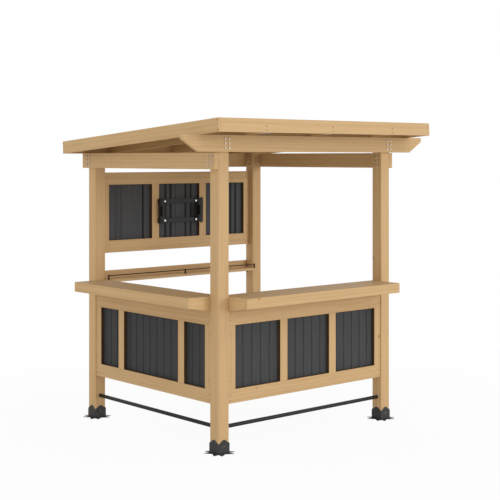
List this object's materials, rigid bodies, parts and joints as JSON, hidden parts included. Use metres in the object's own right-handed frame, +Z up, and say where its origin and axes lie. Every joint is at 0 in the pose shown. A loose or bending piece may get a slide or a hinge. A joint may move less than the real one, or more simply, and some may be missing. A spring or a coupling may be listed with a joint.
{
  "type": "grill gazebo",
  "caption": "Timber grill gazebo with a lean-to steel roof, bar counters on two sides, ribbed panels, foot rails, a rear shelf and a display wall bracket",
  "frame": {"origin": "middle of the overall bounding box in X and Y, at the ground", "axes": "X runs along the front bar counter to the right, Y from the front to the rear display wall, Z up; sizes in metres"},
  "size_m": [2.431, 1.9364, 2.3288],
  "materials": {
    "stained_wood": "honey-brown stained softwood, satin",
    "black_steel": "black powder coat, satin",
    "panel_steel": "dark grey coated steel sheet, matt",
    "roof_steel": "charcoal coated steel sheet, matt",
    "zinc": "bright zinc plating"
  },
  "bodies": {
    "gazebo": {"post_front_left": "stained_wood", "post_front_right": "stained_wood", "post_rear_left": "stained_wood", "post_rear_right": "stained_wood", "post_feet": "black_steel", "front_beam": "stained_wood", "rear_beam": "stained_wood", "left_beam": "stained_wood", "right_beam": "stained_wood", "beam_bolts": "zinc", "beam_nuts": "zinc", "front_fascia": "stained_wood", "rear_fascia": "stained_wood", "left_fascia": "stained_wood", "right_fascia": "stained_wood", "fascia_screws": "black_steel", "left_rafter": "stained_wood", "middle_rafter": "stained_wood", "right_rafter": "stained_wood", "purlins": "stained_wood", "left_roof_sheet": "roof_steel", "middle_roof_sheet": "roof_steel", "right_roof_sheet": "roof_steel", "roof_screws": "black_steel", "front_wall_rails": "stained_wood", "front_wall_uprights": "stained_wood", "front_wall_panels": "panel_steel", "front_wall_channels": "black_steel", "left_wall_rails": "stained_wood", "left_wall_uprights": "stained_wood", "left_wall_panels": "panel_steel", "left_wall_channels": "black_steel", "display_wall_rails": "stained_wood", "display_wall_uprights": "stained_wood", "display_wall_panels": "panel_steel", "display_wall_channels": "black_steel", "wall_screws": "black_steel", "front_counter_boards": "stained_wood", "front_counter_frame": "stained_wood", "left_counter_boards": "stained_wood", "left_counter_frame": "stained_wood", "counter_bearers": "stained_wood", "rear_shelf": "stained_wood", "rear_shelf_back": "stained_wood", "guard_rod": "black_steel", "rod_stands": "black_steel", "shelf_angles": "black_steel", "front_foot_rail": "black_steel", "left_foot_rail": "black_steel", "bracket_rails": "black_steel", "bracket_side_plates": "black_steel", "bracket_screws": "black_steel"},
    "left_carriage": {"left_carriage": "black_steel", "left_pivot_bolt": "black_steel"},
    "right_carriage": {"right_carriage": "black_steel", "right_pivot_bolt": "black_steel"},
    "left_arm": {"left_display_arm": "black_steel", "left_lock_bolt": "black_steel"},
    "right_arm": {"right_display_arm": "black_steel", "right_lock_bolt": "black_steel"}
  },
  "joints": [
    {"name": "left_carriage_slide", "type": "slide", "parent": "gazebo", "child": "left_carriage", "axis": [1, 0, 0], "range_m": [-0.005, 0.1]},
    {"name": "right_carriage_slide", "type": "slide", "parent": "gazebo", "child": "right_carriage", "axis": [-1, 0, 0], "range_m": [-0.005, 0.1]},
    {"name": "left_arm_tilt", "type": "hinge", "parent": "left_carriage", "child": "left_arm", "pos_m": [-0.2, 0.81792, 1.616], "axis": [1, 0, 0], "range_deg": [-5, 12]},
    {"name": "right_arm_tilt", "type": "hinge", "parent": "right_carriage", "child": "right_arm", "pos_m": [0.2, 0.81792, 1.616], "axis": [1, 0, 0], "range_deg": [-5, 12]}
  ]
}
